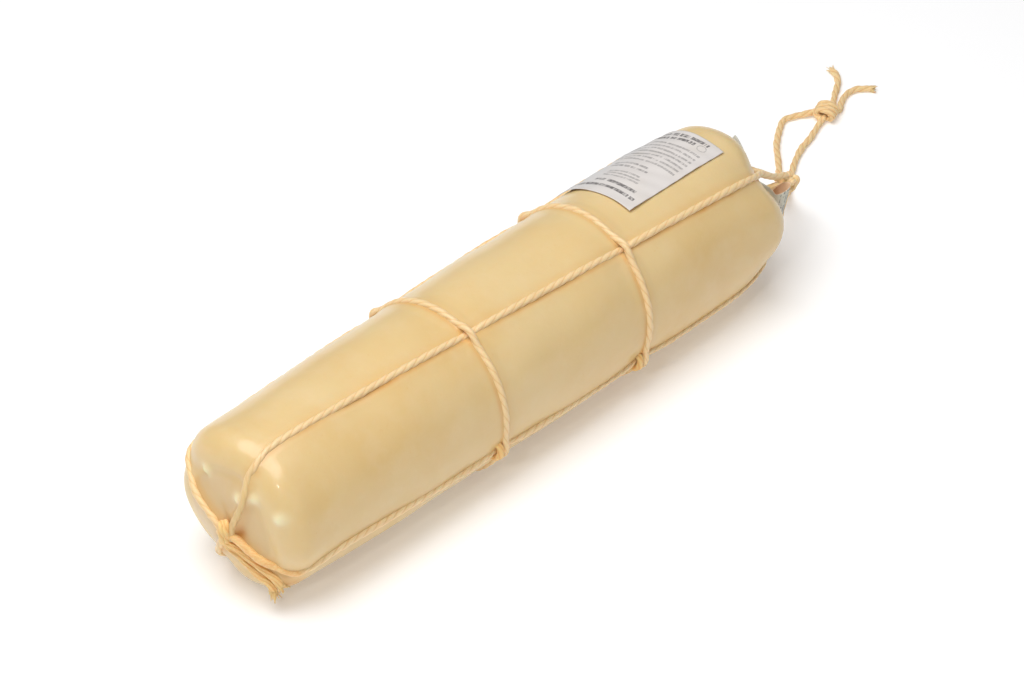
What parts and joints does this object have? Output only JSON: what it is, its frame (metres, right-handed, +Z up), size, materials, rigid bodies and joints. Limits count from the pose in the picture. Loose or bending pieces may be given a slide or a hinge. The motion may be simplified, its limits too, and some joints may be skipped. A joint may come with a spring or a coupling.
{
  "type": "tied log of provolone-type cheese",
  "caption": "Long waxed cheese log in a net of twine, with a paper label, a folded paper band and a tied hanging loop.",
  "frame": {"origin": "the middle of the lowest face of the log with its net, papers and near knot, without the hanging loop, on the table", "axes": "+Z up; +X along the log from the knotted end to the end with the hanging loop; +Y to the log's rear side as pictured"},
  "size_m": [0.7027, 0.1596, 0.1175],
  "materials": {
    "cheese": "satin",
    "twine": "matte",
    "label_paper": "satin",
    "band_paper": "matte"
  },
  "bodies": {
    "root": {"cheese_body": "cheese", "strand_1": "twine", "strand_2": "twine", "strand_3": "twine", "strand_4": "twine", "hoop_1": "twine", "hoop_2": "twine", "hitch_1": "twine", "hitch_2": "twine", "near_knot": "twine", "near_tail_left": "twine", "near_tail_right": "twine", "far_knot": "twine", "loop_left": "twine", "loop_right": "twine", "loop_knot": "twine", "loop_tail_left": "twine", "loop_tail_right": "twine", "label": "label_paper", "paper_band": "band_paper"}
  },
  "joints": []
}
